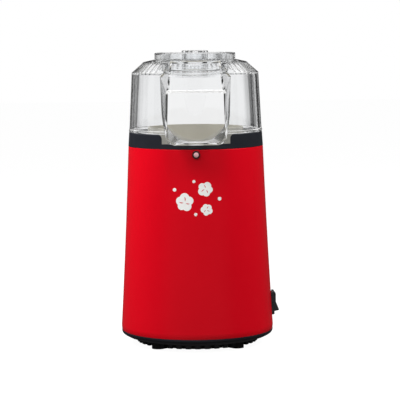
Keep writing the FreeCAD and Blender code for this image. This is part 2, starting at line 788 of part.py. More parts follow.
def fan_housing():
    """A cup round the impeller, with an air eye and a spider that holds the motor."""
    floor_top = FAN_HOUSING_BOTTOM + FAN_WALL
    flange_bottom = DUCT_BOTTOM - FLANGE_THICK
    cup = turned([
        (0, FAN_HOUSING_BOTTOM),
        (R_FAN_BORE + FAN_WALL, FAN_HOUSING_BOTTOM),
        (R_FAN_BORE + FAN_WALL, flange_bottom),
        (R_DUCT_FLANGE, flange_bottom),
        (R_DUCT_FLANGE, DUCT_BOTTOM),
        (R_FAN_BORE, DUCT_BOTTOM),
        (R_FAN_BORE, floor_top),
        (0, floor_top),
    ])
    eye = tube(R_AIR_EYE, R_MOTOR_SEAT, FAN_HOUSING_BOTTOM - 1, floor_top + 1)
    spoke = block(R_MOTOR_SEAT - 1, R_AIR_EYE + 1, -SPOKE_WIDTH / 2, SPOKE_WIDTH / 2, 0, BIG)
    cup = cup.cut(eye.cut(around(spoke, SPOKE_ANGLES)))
    cup = cup.cut(disc(R_BEARING + CLEAR / 2, FAN_HOUSING_BOTTOM - 1, floor_top + 1))
    cup = drilled(cup, motor_screw_places(), FAN_HOUSING_BOTTOM - 1, floor_top + 1)
    return drilled(cup, duct_screw_places(), flange_bottom - 1, DUCT_BOTTOM + 1)


def duct_screws():
    seat = DUCT_BOTTOM - FLANGE_THICK
    return loose([screw(x, y, seat, DUCT_BOTTOM + 4) for x, y in duct_screw_places()])


def coil_path():
    """A flat spiral of half circles, each one wider than the last by half the pitch."""
    edges = []
    side = 1
    start = V(COIL_INNER, 0, HEATER_Z)
    for turn in range(COIL_HALF_TURNS):
        radius = COIL_INNER + COIL_PITCH / 4 + turn * COIL_PITCH / 2
        centre = start - V(side * radius, 0, 0)
        end = centre - V(side * radius, 0, 0)
        edges.append(Part.Arc(start, centre + V(0, side * radius, 0), end).toShape())
        start = end
        side = -side
    return Part.Wire(edges)


def coil_tube(radius):
    section = Part.Wire(Part.Circle(V(COIL_INNER, 0, HEATER_Z), Y_AXIS, radius).toShape())
    return coil_path().makePipeShell([section], True, False)


def heater_coil():
    return coil_tube(R_COIL_WIRE)


def heater_frame():
    """Two mica plates halved into each other, with notches that hold the coil."""
    reach = R_DUCT - DUCT_WALL - CLEAR
    middle = (DUCT_BOTTOM + HEATER_TOP) / 2
    plate = block(-reach, reach, -MICA / 2, MICA / 2, DUCT_BOTTOM, HEATER_TOP)
    upper_slot = block(-MICA / 2, MICA / 2, -MICA, MICA, middle, HEATER_TOP + 1)
    lower_slot = block(-MICA / 2, MICA / 2, -MICA, MICA, DUCT_BOTTOM - 1, middle)
    coil_room = coil_tube(R_COIL_WIRE + 0.1)
    first = spun(plate.cut(upper_slot), 45).cut(coil_room)
    second = spun(plate.cut(lower_slot), 135).cut(coil_room)
    return loose([first, second])


def thermostat():
    base = R_DUCT + THERMOSTAT_HEIGHT
    end = base + THERMOSTAT_CAP
    can = rod(V(R_DUCT - 1.5, 0, CONTROL_Z), X_AXIS, R_THERMOSTAT, THERMOSTAT_HEIGHT + 1.5)
    cap = rod(V(base, 0, CONTROL_Z), X_AXIS, R_THERMOSTAT_CAP, THERMOSTAT_CAP)
    tab = block(end, end + THERMOSTAT_CAP, -TAB_WIDTH / 2, TAB_WIDTH / 2,
                CONTROL_Z - TAB_THICK / 2, CONTROL_Z + TAB_THICK / 2)
    tabs = [tab.translated(V(0, side * TAB_SPACING / 2, 0)) for side in (-1, 1)]
    body = joined([can, cap] + tabs).cut(disc(R_DUCT, 0, BIG))
    return spun(body, THERMOSTAT_ANGLE)


def thermal_fuse():
    x = R_DUCT + R_FUSE + 0.1
    barrel = post(x, 0, R_FUSE, CONTROL_Z - FUSE_LENGTH / 2, CONTROL_Z + FUSE_LENGTH / 2)
    leads = post(x, 0, R_FUSE_LEAD, CONTROL_Z - FUSE_LEAD_LENGTH / 2, CONTROL_Z + FUSE_LEAD_LENGTH / 2)
    return spun(barrel.fuse(leads).removeSplitter(), FUSE_ANGLE)


# Motor and impeller ---------------------------------------------------------------------------

def motor_screw_places():
    return [polar(R_MOTOR_SCREW, angle) for angle in MOTOR_SCREW_ANGLES]


def motor_can():
    inner = R_MOTOR - MOTOR_WALL
    bearing_top = MOTOR_TOP + BEARING_HEIGHT
    under_end = MOTOR_TOP - MOTOR_END_WALL
    can = turned([
        (R_SHAFT + FIT, bearing_top),
        (R_BEARING, bearing_top),
        (R_BEARING, MOTOR_TOP),
        (R_MOTOR, MOTOR_TOP),
        (R_MOTOR, MOTOR_BOTTOM),
        (inner, MOTOR_BOTTOM),
        (inner, under_end),
        (R_SHAFT + FIT, under_end),
    ])
    return drilled(can, motor_screw_places(), under_end - 1, MOTOR_TOP + 1)


def motor_magnets():
    arc = tube(R_MOTOR - MOTOR_WALL, R_ROTOR + ROTOR_GAP, MAGNET_BOTTOM, MAGNET_TOP)
    gap = block(-BIG, BIG, -MAGNET_GAP / 2, MAGNET_GAP / 2, 0, BIG)
    return loose(arc.cut(gap).Solids)


def motor_rotor():
    """A three-pole armature with its commutator."""
    core = disc(R_ROTOR, CORE_BOTTOM, CORE_TOP)
    slot = block(R_SLOT_FLOOR, BIG, -ROTOR_SLOT / 2, ROTOR_SLOT / 2, 0, BIG)
    windings = disc(R_WINDING, CORE_BOTTOM - WINDING, CORE_TOP + WINDING)
    commutator = disc(R_COMMUTATOR, COMMUTATOR_BOTTOM, CORE_BOTTOM)
    rotor = joined([core.cut(around(slot, even_angles(3))), windings, commutator])
    return rotor.cut(disc(R_SHAFT, 0, BIG))


def motor_shaft():
    return disc(R_SHAFT, SHAFT_BOTTOM, SHAFT_TOP)


def motor_end_cap():
    """The motor's plastic end with its lower bearing and two terminals."""
    cap_bottom = MOTOR_BOTTOM - END_CAP
    bearing_bottom = cap_bottom - BEARING_HEIGHT
    cap = turned([
        (R_SHAFT + FIT, bearing_bottom),
        (R_BEARING, bearing_bottom),
        (R_BEARING, cap_bottom),
        (R_MOTOR, cap_bottom),
        (R_MOTOR, MOTOR_BOTTOM),
        (R_SHAFT + FIT, MOTOR_BOTTOM),
    ])
    half = MOTOR_TAB_WIDTH / 2
    tab = block(MOTOR_TAB_X - half, MOTOR_TAB_X + half, -TAB_THICK / 2, TAB_THICK / 2,
                BOARD_Z + BOARD_THICK, cap_bottom)
    return joined([cap] + around(tab, (0, 180)))


def motor_screws():
    seat = FAN_HOUSING_BOTTOM + FAN_WALL
    tip = MOTOR_TOP - MOTOR_END_WALL + 0.2
    return loose([screw(x, y, seat, tip, MOTOR_SCREW_HEAD) for x, y in motor_screw_places()])


def impeller():
    """A fan wheel with backward-curved blades between a back plate and a shroud ring."""
    plate = disc(R_IMPELLER, IMPELLER_BOTTOM, IMPELLER_BOTTOM + BLADE_THICK)
    hub = disc(R_HUB, IMPELLER_BOTTOM, IMPELLER_TOP)
    shroud = tube(R_IMPELLER, R_IMPELLER - SHROUD_WIDTH, IMPELLER_TOP - SHROUD_THICK, IMPELLER_TOP)
    arc = tube(R_BLADE + BLADE_THICK / 2, R_BLADE - BLADE_THICK / 2, IMPELLER_BOTTOM, IMPELLER_TOP)
    arc.translate(V(*BLADE_CENTRE, 0))
    reach = tube(R_IMPELLER, R_BLADE_ROOT, IMPELLER_BOTTOM, IMPELLER_TOP)
    blade = arc.common(reach).common(block(0, BIG, 0, BIG, 0, BIG)).Solids[0]
    blades = around(blade, even_angles(BLADE_COUNT))
    return joined([plate, hub, shroud] + blades).cut(disc(R_SHAFT, 0, BIG))


# Switch, lamp, gland and wiring ---------------------------------------------------------------

def switch_body():
    bezel = switch_box(BEZEL_HALF_WIDTH, BEZEL_HALF_HEIGHT, BEZEL_SEAT, BEZEL_X)
    rim_edges = [e for e in bezel.Edges if e.BoundBox.XMin > BEZEL_X - 0.01]
    side_edges = [e for e in bezel.Edges if e.BoundBox.XLength > 1]
    bezel = bezel.makeFillet(1.0, rim_edges + side_edges)
    case = switch_box(MOUTH_HALF_WIDTH + SWITCH_WALL, MOUTH_HALF_HEIGHT + 0.2, SWITCH_CASE_X, BEZEL_SEAT)
    mouth = switch_box(MOUTH_HALF_WIDTH, MOUTH_HALF_HEIGHT, SWITCH_MOUTH_X, BIG)
    trunnion = rod(V(SWITCH_X, -BEZEL_HALF_WIDTH, SWITCH_Z), Y_AXIS, R_TRUNNION + FIT, 2 * BEZEL_HALF_WIDTH)
    return bezel.fuse(case).cut([mouth, trunnion]).removeSplitter()


def switch_rocker():
    """The rocker, tilted to its rest position with the upper end pressed in."""
    end = ROCKER_FACE + ROCKER_HALF_HEIGHT * math.tan(math.radians(ROCKER_TILT))
    depth, tail = ROCKER_TAIL
    wire = outline([
        (-depth, -tail),
        (ROCKER_SHOULDER, -ROCKER_HALF_HEIGHT),
        (end, -ROCKER_HALF_HEIGHT),
        (ROCKER_FACE, 0),
        (end, ROCKER_HALF_HEIGHT),
        (ROCKER_SHOULDER, ROCKER_HALF_HEIGHT),
        (-depth, tail),
    ])
    wire.translate(V(0, -ROCKER_HALF_WIDTH, 0))
    paddle = Part.Face(wire).extrude(V(0, 2 * ROCKER_HALF_WIDTH, 0))
    paddle = paddle.makeFillet(0.8, [e for e in paddle.Edges if e.BoundBox.XMin > end - 0.01])
    pin = rod(V(0, -PIN_END, 0), Y_AXIS, R_TRUNNION, 2 * PIN_END)
    rocker = paddle.fuse(pin).removeSplitter()
    rocker.rotate(CENTRE, Y_AXIS, -ROCKER_TILT)
    rocker.translate(V(SWITCH_X, 0, SWITCH_Z))
    return rocker


def switch_terminals():
    blade = switch_box(TERMINAL_HALF_WIDTH, TAB_THICK / 2, TERMINAL_X, SWITCH_CASE_X)
    return loose([blade.translated(V(0, 0, rise)) for rise in TERMINAL_RISES])


def lamp_bezel():
    flange = rod(V(0, -LAMP_SEAT, LAMP_Z), FRONT, R_LAMP_BEZEL, LAMP_FLANGE)
    rim = [e for e in flange.Edges if e.BoundBox.YMax < -LAMP_SEAT - LAMP_FLANGE + 0.1]
    flange = flange.makeFillet(0.5, rim)
    sleeve = rod(V(0, -LAMP_TUBE_END, LAMP_Z), FRONT, R_LAMP_TUBE, LAMP_SEAT - LAMP_TUBE_END)
    bore = rod(V(0, -LAMP_END, LAMP_Z), FRONT, R_LAMP, BIG)
    return flange.fuse(sleeve).cut(bore).removeSplitter()


def indicator_lamp():
    tip = LAMP_SEAT + LAMP_STAND
    body = rod(V(0, -LAMP_END, LAMP_Z), FRONT, R_LAMP, tip - LAMP_END)
    dome = Part.makeSphere(R_LAMP, V(0, -tip, LAMP_Z))
    return body.fuse(dome).removeSplitter()


def cord_gland():
    flange = rod(V(0, GLAND_SEAT, GLAND_Z), Y_AXIS, R_GLAND_FLANGE, GLAND_FLANGE)
    rim = [e for e in flange.Edges if e.BoundBox.YMin > GLAND_SEAT + GLAND_FLANGE - 0.1]
    flange = flange.makeFillet(1.0, rim)
    nose = Part.makeCone(R_GLAND + GLAND_TAPER, R_GLAND - GLAND_TAPER, GLAND_OUTSIDE - GLAND_SEAT,
                         V(0, GLAND_SEAT, GLAND_Z), Y_AXIS)
    inside = V(0, GLAND_INSIDE, GLAND_Z)
    barrel = rod(inside, Y_AXIS, R_GLAND, GLAND_SEAT - GLAND_INSIDE)
    nut = rod(inside, Y_AXIS, R_GLAND + GLAND_NUT, GLAND_NUT_THICK)
    return joined([flange, nose, barrel, nut]).cut(rod(inside, Y_AXIS, R_CORD_BORE, BIG))


def rectifier_board():
    return tube(R_BOARD, R_BOARD_HOLE, BOARD_Z, BOARD_Z + BOARD_THICK)


def rectifier_diodes():
    """Four diodes standing side by side under the board."""
    diode = post(R_DIODE_CIRCLE, 0, R_DIODE, BOARD_Z - DIODE_LENGTH, BOARD_Z)
    return loose(around(diode, DIODE_ANGLES))


def terminal_block():
    top = PAN_FLOOR_TOP + BLOCK_HEIGHT
    body = block(BLOCK_X - BLOCK_HALF_LENGTH, BLOCK_X + BLOCK_HALF_LENGTH,
                 BLOCK_Y - BLOCK_HALF_WIDTH, BLOCK_Y + BLOCK_HALF_WIDTH, PAN_FLOOR_TOP, top)
    seat = PAN_FLOOR_TOP + BLOCK_HEIGHT / 2
    return body.cut([post(BLOCK_X + dx, BLOCK_Y, R_BLOCK_HOLE, seat, top + 1) for dx in BLOCK_HOLES])


def terminal_screws():
    seat = PAN_FLOOR_TOP + BLOCK_HEIGHT / 2
    top = seat + BLOCK_SCREW_LENGTH
    return loose([post(BLOCK_X + dx, BLOCK_Y, R_BLOCK_SCREW, seat, top) for dx in BLOCK_HOLES])


def lead_wires():
    """Insulated leads between the gland, terminal block, switch, thermostat and rectifier."""
    side = BLOCK_Y + BLOCK_HALF_WIDTH
    edge = BLOCK_X + BLOCK_HALF_LENGTH
    mid = PAN_FLOOR_TOP + 4
    routes = [
        [(0, GLAND_INSIDE, GLAND_Z), (0, 52, GLAND_Z), (-14, 44, 20), (BLOCK_X + 4, 40, mid),
         (BLOCK_X + 4, side, mid)],
        [(edge, BLOCK_Y, mid), (-4, BLOCK_Y, mid), (20, 12, 20), (33, 1, 34), (41, 0, SWITCH_Z),
         (TERMINAL_X, 0, SWITCH_Z)],
        [(BLOCK_X - 6, side, mid), (BLOCK_X - 6, 42, mid), (-42.5, 48.2, 40), (-42.6, 48.4, 122),
         (-41.5, 46.5, 138), (-41.6, 46.4, 149.6)],
        [(edge, BLOCK_Y - 3, mid + 4), (-12, BLOCK_Y - 3, mid + 4), (-11, 2, 19), (-9, -6.3, 24),
         (-9.1, -6.4, BOARD_Z)],
    ]
    return loose([wire_tube(route, R_WIRE) for route in routes])


# Export ---------------------------------------------------------------------------------------

PIECES = (
    outer_housing, base_pan, foot_ring, base_screws, collar_ring, collar_screws,
    clear_dome, measuring_cup,
    popping_chamber, chamber_gasket, chamber_ring, chamber_screws,
    hot_air_duct, fan_housing, duct_screws, heater_frame, heater_coil, thermostat, thermal_fuse,
    impeller, motor_shaft, motor_rotor, motor_can, motor_magnets, motor_end_cap, motor_screws,
    switch_body, switch_rocker, switch_terminals, lamp_bezel, indicator_lamp, cord_gland,
    rectifier_board, rectifier_diodes, terminal_block, terminal_screws, lead_wires,
)


def main():
    os.makedirs("parts", exist_ok=True)
    for make in PIECES:
        shape = make()
        shape.exportStep("parts/" + make.__name__ + ".step")
        sizes = [round(solid.Volume, 1) for solid in shape.Solids]
        print(make.__name__, "valid" if shape.isValid() else "INVALID", len(sizes), "solids", sizes[:6])


main()
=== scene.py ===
import json
import math

import bmesh
import bpy
from mathutils import Euler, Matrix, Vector
from mathutils.bvhtree import BVHTree


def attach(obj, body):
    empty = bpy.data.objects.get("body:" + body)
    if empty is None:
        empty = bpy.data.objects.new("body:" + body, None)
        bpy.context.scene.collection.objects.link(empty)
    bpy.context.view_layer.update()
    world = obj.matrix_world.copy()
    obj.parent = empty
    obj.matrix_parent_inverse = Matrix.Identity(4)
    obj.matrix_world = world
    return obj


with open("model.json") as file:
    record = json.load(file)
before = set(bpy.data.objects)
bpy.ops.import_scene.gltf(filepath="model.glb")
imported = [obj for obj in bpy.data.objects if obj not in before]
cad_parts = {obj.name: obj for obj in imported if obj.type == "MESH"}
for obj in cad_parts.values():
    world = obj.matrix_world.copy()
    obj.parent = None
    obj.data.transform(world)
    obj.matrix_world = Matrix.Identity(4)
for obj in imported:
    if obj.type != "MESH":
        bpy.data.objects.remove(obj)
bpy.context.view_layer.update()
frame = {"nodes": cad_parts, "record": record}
nodes = frame["nodes"]
scene = bpy.context.scene

MM = 0.001


# Camera ---------------------------------------------------------------------------------------

CAMERA_AWAY = 1.772
CAMERA_TURN = -0.35         # degrees round the object, so a little to the left
CAMERA_HEIGHT = 0.311
CAMERA_PITCH = 5.454        # degrees below the horizon
CAMERA_ROLL = 0.55          # degrees, because the product stands a little askew in its picture
LENS = 161.2
SHIFT_X = 0.0095


def add_camera():
    data = bpy.data.cameras.new("camera")
    data.lens = LENS
    data.sensor_width = 36.0
    data.shift_x = SHIFT_X
    data.clip_end = 50.0
    camera = bpy.data.objects.new("camera", data)
    turn = math.radians(CAMERA_TURN)
    camera.location = (CAMERA_AWAY * math.sin(turn), -CAMERA_AWAY * math.cos(turn), CAMERA_HEIGHT)
    facing = Euler((math.radians(90.0 - CAMERA_PITCH), 0.0, turn)).to_matrix()
    roll = Euler((0.0, 0.0, math.radians(-CAMERA_ROLL))).to_matrix()
    camera.rotation_euler = (facing @ roll).to_euler()
    scene.collection.objects.link(camera)
    scene.camera = camera


# Node helpers ---------------------------------------------------------------------------------

class Tree:
    """A short way to build a node tree."""

    def __init__(self, owner):
        owner.use_nodes = True
        self.tree = owner.node_tree
        self.tree.nodes.clear()

    def node(self, kind, inputs=None, **settings):
        made = self.tree.nodes.new("ShaderNode" + kind)
        for name, value in settings.items():
            setattr(made, name, value)
        for name, value in (inputs or {}).items():
            self.feed(made.inputs[name], value)
        return made

    def feed(self, socket, value):
        if isinstance(value, bpy.types.NodeSocket):
            self.tree.links.new(value, socket)
        else:
            socket.default_value = value

    def math(self, operation, a, b=0.0, c=0.0):
        made = self.node("Math", operation=operation)
        for socket, value in zip(made.inputs, (a, b, c)):
            self.feed(socket, value)
        return made.outputs[0]

    def place(self):
        return self.node("TexCoord").outputs["Object"]

    def noise(self, scale, detail=2.0, stretch=(1.0, 1.0, 1.0)):
        where = self.node("Mapping", {"Vector": self.place(), "Scale": stretch}).outputs[0]
        return self.node("TexNoise", {"Vector": where, "Scale": scale, "Detail": detail}).outputs[0]

    def between(self, share, low, high):
        return self.node("MapRange", {"Value": share, "To Min": low, "To Max": high}).outputs[0]

    def step(self, value, none, full):
        """Rises evenly from 0 where the value is none to 1 where it is full."""
        return self.node("MapRange", {"Value": value, "From Min": none, "From Max": full}).outputs[0]

    def blend(self, share, first, second):
        made = self.node("Mix", data_type="RGBA")
        self.feed(made.inputs[0], share)
        self.feed(made.inputs[6], first)
        self.feed(made.inputs[7], second)
        return made.outputs[2]

    def ramp(self, share, stops):
        """A grey level that runs through the given (place, level) stops."""
        made = self.node("ValToRGB", {"Fac": share})
        elements = made.color_ramp.elements
        for place, level in stops:
            elements.new(place).color = grey(level)
        elements.remove(elements[0])
        elements.remove(elements[-1])
        return made.outputs[0]

    def bump(self, height, distance, strength=1.0, under=None):
        made = self.node("Bump", {"Height": height, "Distance": distance, "Strength": strength})
        if under is not None:
            self.feed(made.inputs["Normal"], under)
        return made.outputs[0]

    def surface(self, shader):
        self.node("OutputMaterial", {"Surface": shader})


def rgba(red, green, blue):
    return (red, green, blue, 1.0)


def grey(level):
    return (level, level, level, 1.0)


def new_material(name):
    made = bpy.data.materials.new(name)
    return made, Tree(made)


# Materials ------------------------------------------------------------------------------------

MOUTH_Y = -0.0899           # the chute's mouth: its plane, and the height of its top edge
MOUTH_TOP_Z = 0.2535
BEAD_Z = 0.2138             # top of the ring that the dome sits on
BEAD_FRONT = -0.066         # forward of this, the chute takes the ring's place
RIM_INNER = 0.0375          # the cup's rim, and the top of the post in its middle
RIM_LOW = 0.2815
RIM_HIGH = 0.2885
POST_RADIUS = 0.0132
# the largest share of painted white and glow on the clear plastic's edges
MOST_PAINTED_EDGE_LIGHT = 0.9


def red_gloss():
    """Smooth injection-moulded red with faint orange peel and slight unevenness of tone."""
    made, t = new_material("red_gloss")
    tone = t.noise(22.0, 3.0)
    peel = t.bump(t.noise(420.0, 1.0), 0.00004, 0.5)
    shader = t.node("BsdfPrincipled", {
        "Base Color": t.blend(tone, rgba(0.56, 0.001, 0.008), rgba(0.61, 0.002, 0.010)),
        "Roughness": t.between(t.noise(60.0, 4.0), 0.20, 0.27),
        "Specular IOR Level": 0.16,
        "Normal": peel,
    })
    t.surface(shader.outputs[0])
    return made


def black_plastic():
    """Satin black moulding with a fine spark-eroded grain."""
    made, t = new_material("black_plastic")
    tone = t.noise(90.0, 3.0)
    grain = t.bump(t.noise(2600.0, 2.0), 0.00003, 0.7)
    shader = t.node("BsdfPrincipled", {
        "Base Color": t.blend(tone, rgba(0.011, 0.012, 0.016), rgba(0.016, 0.017, 0.022)),
        "Roughness": t.between(t.noise(140.0, 3.0), 0.34, 0.46),
        "Specular IOR Level": 0.35,
        "Normal": grain,
    })
    t.surface(shader.outputs[0])
    return made


def black_rubber():
    made, t = new_material("black_rubber")
    shader = t.node("BsdfPrincipled", {
        "Base Color": t.blend(t.noise(160.0, 4.0), rgba(0.012, 0.012, 0.012), rgba(0.028, 0.027, 0.026)),
        "Roughness": t.between(t.noise(300.0, 2.0), 0.7, 0.85),
        "Specular IOR Level": 0.3,
        "Normal": t.bump(t.noise(1500.0, 4.0), 0.00006, 0.8),
    })
    t.surface(shader.outputs[0])
    return made


def clear_plastic(name):
    """Polished see-through plastic with faint moulding waves. Part of the light goes straight through."""
    made, t = new_material(name)
    waves = t.bump(t.noise(30.0, 2.0, (1.0, 1.0, 0.35)), 0.00005, 0.5)
    scratches = t.bump(t.noise(900.0, 2.0, (1.0, 1.0, 0.08)), 0.000004, 0.3, waves)
    shader = t.node("BsdfPrincipled", {
        "Base Color": rgba(0.99, 0.995, 1.0),
        "Roughness": t.between(t.noise(50.0, 5.0), 0.0, 0.03),
        "IOR": 1.5,
        "Transmission Weight": 1.0,
        "Normal": scratches,
    })
    lit_through = t.math("MULTIPLY", t.node("LightPath").outputs["Is Shadow Ray"], 0.8)
    clear = t.node("BsdfTransparent", {"Color": rgba(0.96, 0.96, 0.96)}).outputs[0]
    return made, t, t.node("MixShader", {0: lit_through, 1: shader.outputs[0], 2: clear}).outputs[0]


def with_painted_edge_light(t, clear, painted_edge_light):
    """Clear plastic painted white with a faint glow where the mask is high: a painted highlight for the
    light that is piped to its edges.
    """
    paint = t.node("BsdfDiffuse", {"Color": rgba(0.8, 0.8, 0.79)}).outputs[0]
    # a painted glow: the edges give off light although they are not a lamp
    glow = t.node("Emission", {"Color": rgba(1.0, 1.0, 0.99), "Strength": 0.22}).outputs[0]
    white = t.node("AddShader", {0: paint, 1: glow}).outputs[0]
    share = t.math("MINIMUM", painted_edge_light, MOST_PAINTED_EDGE_LIGHT)
    t.surface(t.node("MixShader", {0: share, 1: clear, 2: white}).outputs[0])


def cup_plastic():
    """Clear plastic with a faint painted highlight, white with a little glow, on the cup's rim and on the
    top of its post.
    """
    made, t, clear = clear_plastic("clear_plastic")
    where = t.node("SeparateXYZ", {0: t.place()}).outputs
    flat = t.node("CombineXYZ", {0: where["X"], 1: where["Y"]}).outputs[0]
    out = t.node("VectorMath", {0: flat}, operation="LENGTH").outputs["Value"]
    on_rim = t.step(out, RIM_INNER - MM, RIM_INNER)
    rim = t.math("MULTIPLY", on_rim, t.step(where["Z"], RIM_LOW - MM, RIM_LOW))
    on_post = t.step(out, POST_RADIUS, POST_RADIUS - MM)
    top = t.math("MULTIPLY", on_post, t.step(where["Z"], RIM_HIGH, RIM_HIGH + MM))
    # painted highlight: a little on the rim, more on the top of the post
    painted_edge_light = t.math("MAXIMUM", t.math("MULTIPLY", rim, 0.05), t.math("MULTIPLY", top, 0.12))
    with_painted_edge_light(t, clear, t.math("MULTIPLY", painted_edge_light, t.between(t.noise(300.0), 0.8, 1.2)))
    return made


def dome_plastic():
    """Clear plastic with a painted highlight, white with a faint glow, round the chute's mouth, most at the
    top, and on the seat bead.
    """
    made, t, clear = clear_plastic("dome_plastic")
    where = t.node("SeparateXYZ", {0: t.place()}).outputs
    mouth = t.step(where["Y"], MOUTH_Y + 0.4 * MM, MOUTH_Y)
    high = t.step(where["Z"], MOUTH_TOP_Z - 4 * MM, MOUTH_TOP_Z - 2 * MM)
    below_top = t.step(where["Z"], BEAD_Z + 0.2 * MM, BEAD_Z - 0.2 * MM)
    above_foot = t.step(where["Z"], BEAD_Z - 2.0 * MM, BEAD_Z - 1.5 * MM)
    round_back = t.step(where["Y"], BEAD_FRONT - 2 * MM, BEAD_FRONT)
    bead = t.math("MULTIPLY", t.math("MULTIPLY", below_top, above_foot), round_back)
    # painted highlight: along the mouth, strongest at its top edge, and faintly on the seat bead
    edges = t.math("MULTIPLY", mouth, t.between(high, 0.03, 0.8))
    painted_edge_light = t.math("ADD", edges, t.math("MULTIPLY", bead, 0.16))
    with_painted_edge_light(t, clear, t.math("MULTIPLY", painted_edge_light, t.between(t.noise(300.0), 0.85, 1.15)))
    return made


def sheet_metal(name, low, high, roughness, stretch, scale=240.0, metallic=1.0):
    """Metal with drawing or rolling lines along one direction."""
    made, t = new_material(name)
    lines = t.noise(scale, 4.0, stretch)
    shader = t.node("BsdfPrincipled", {
        "Base Color": t.blend(t.noise(35.0, 4.0), low, high),
        "Metallic": metallic,
        "Roughness": t.between(lines, roughness - 0.08, roughness + 0.1),
        "Normal": t.bump(lines, 0.00003, 0.5),
    })
    t.surface(shader.outputs[0])
    return made


def moulded(name, low, high, roughness, grain=900.0):
    made, t = new_material(name)
    shader = t.node("BsdfPrincipled", {
        "Base Color": t.blend(t.noise(110.0, 4.0), low, high),
        "Roughness": t.between(t.noise(200.0, 3.0), roughness - 0.06, roughness + 0.08),
        "Normal": t.bump(t.noise(grain, 3.0), 0.00003, 0.6),
    })
    t.surface(shader.outputs[0])
    return made


def mica():
    """Layered board with glittering flakes."""
    made, t = new_material("mica")
    flakes = t.node("TexVoronoi", {"Vector": t.place(), "Scale": 520.0}).outputs["Color"]
    shader = t.node("BsdfPrincipled", {
        "Base Color": t.blend(flakes, rgba(0.42, 0.34, 0.2), rgba(0.72, 0.66, 0.5)),
        "Roughness": t.between(t.noise(700.0, 2.0), 0.3, 0.6),
        "Normal": t.bump(t.noise(800.0, 5.0), 0.00005, 0.6),
    })
    t.surface(shader.outputs[0])
    return made


def lamp_lens():
    """A frosted lens, faintly lit from inside."""
    made, t = new_material("lamp_lens")
    shader = t.node("BsdfPrincipled", {
        "Base Color": t.blend(t.noise(700.0, 2.0), rgba(0.72, 0.34, 0.38), rgba(0.84, 0.52, 0.54)),
        "Roughness": t.between(t.noise(900.0, 2.0), 0.18, 0.32),
        "Transmission Weight": 0.4,
        "Emission Color": rgba(1.0, 0.72, 0.74),
        "Emission Strength": 0.16,
    })
    t.surface(shader.outputs[0])
    return made


def slot_materials():
    """The finished material of every slot that the CAD record names."""
    return {
        "red_gloss": red_gloss(),
        "black_plastic": black_plastic(),
        "black_rubber": black_rubber(),
        "clear_plastic": cup_plastic(),
        "chamber_aluminium": sheet_metal("chamber_aluminium", rgba(0.62, 0.60, 0.53), rgba(0.74, 0.72, 0.65),
                                         0.36, (1.0, 1.0, 0.06), metallic=0.5),
        "white_silicone": moulded("white_silicone", rgba(0.62, 0.62, 0.60), rgba(0.74, 0.74, 0.72), 0.6),
        "steel": sheet_metal("steel", grey(0.50), grey(0.64), 0.34, (1.0, 1.0, 1.0), 500.0),
        "duct_steel": sheet_metal("duct_steel", rgba(0.58, 0.58, 0.57), rgba(0.72, 0.72, 0.71), 0.28,
                                  (1.0, 1.0, 0.1)),
        "mica": mica(),
        "heater_wire": sheet_metal("heater_wire", rgba(0.26, 0.22, 0.20), rgba(0.46, 0.40, 0.36), 0.5,
                                   (1.0, 1.0, 1.0), 900.0),
        "fan_plastic": moulded("fan_plastic", rgba(0.68, 0.67, 0.62), rgba(0.80, 0.79, 0.74), 0.45),
        "copper_winding": sheet_metal("copper_winding", rgba(0.55, 0.22, 0.09), rgba(0.80, 0.40, 0.20), 0.35,
                                      (1.0, 1.0, 4.0), 400.0),
        "magnet": moulded("magnet", grey(0.07), grey(0.15), 0.6),
        "switch_black": moulded("switch_black", rgba(0.010, 0.010, 0.012), rgba(0.020, 0.020, 0.022),
                                0.28, 2000.0),
        "brass_contact": sheet_metal("brass_contact", rgba(0.62, 0.44, 0.18), rgba(0.80, 0.62, 0.32), 0.3,
                                     (1.0, 1.0, 1.0), 500.0),
        "lamp_bezel": moulded("lamp_bezel", rgba(0.030, 0.004, 0.005), rgba(0.052, 0.009, 0.010),
                              0.5, 2000.0),
        "lamp_lens": lamp_lens(),
        "circuit_board": moulded("circuit_board", rgba(0.36, 0.25, 0.11), rgba(0.50, 0.37, 0.19), 0.5),
        "white_plastic": moulded("white_plastic", rgba(0.84, 0.84, 0.83), rgba(0.92, 0.92, 0.91), 0.45),
    }


def dress_frame(finished):
    """Gives every CAD node the material of its slot. The dome has a version of its own."""
    own = {"clear_dome": dome_plastic()}
    for entry in frame["record"]["subparts"]:
        worn = nodes[entry["node"]].data.materials
        worn.clear()
        worn.append(own.get(entry["node"], finished[entry["material_slot"]]))


# Print on the front ---------------------------------------------------------------------------

FLAKES = (          # across, up and size in millimetres, then turn in degrees
    (-11.5, 146.0, 9.0, 8.0),
    (8.5, 158.5, 7.6, 130.0),
    (9.5, 139.0, 6.0, 250.0),
)
KERNELS = (         # across, up and radius in millimetres
    (-21.0, 158.0, 1.7),
    (-2.5, 166.0, 1.5),
    (22.0, 149.0, 1.8),
    (-1.0, 134.5, 1.5),
)
FLAKE_CORE = 0.42   # a flake of size 1: its core, then its lobes as angle, distance and radius
FLAKE_LOBES = ((82, 0.50, 0.50), (154, 0.46, 0.47), (222, 0.50, 0.42), (290, 0.46, 0.50), (12, 0.52, 0.45))
CREASES = ((60, 0.10, 0.62, 24), (190, 0.12, 0.60, -22), (318, 0.14, 0.60, 20))     # angle, from, to, bend
CREASE_HALF_WIDTH = 0.05
PRINT_HALF_WIDTH = 24       # millimetres, cut into strips of 1 mm so that the print can follow the curve
INK = 0.04 * MM
IN_FRONT = -0.2             # a place well in front of the housing


def lobed_outline(steps=120):
    """A popcorn flake's outline: the outermost of its lobes in every direction."""
    points = []
    for i in range(steps):
        angle = 2 * math.pi * i / steps
        reach = FLAKE_CORE
        for lobe_angle, distance, radius in FLAKE_LOBES:
            off = angle - math.radians(lobe_angle)
            inside = radius ** 2 - (distance * math.sin(off)) ** 2
            if inside > 0:
                reach = max(reach, distance * math.cos(off) + math.sqrt(inside))
        points.append(reach * Vector((math.cos(angle), math.sin(angle))))
    return points


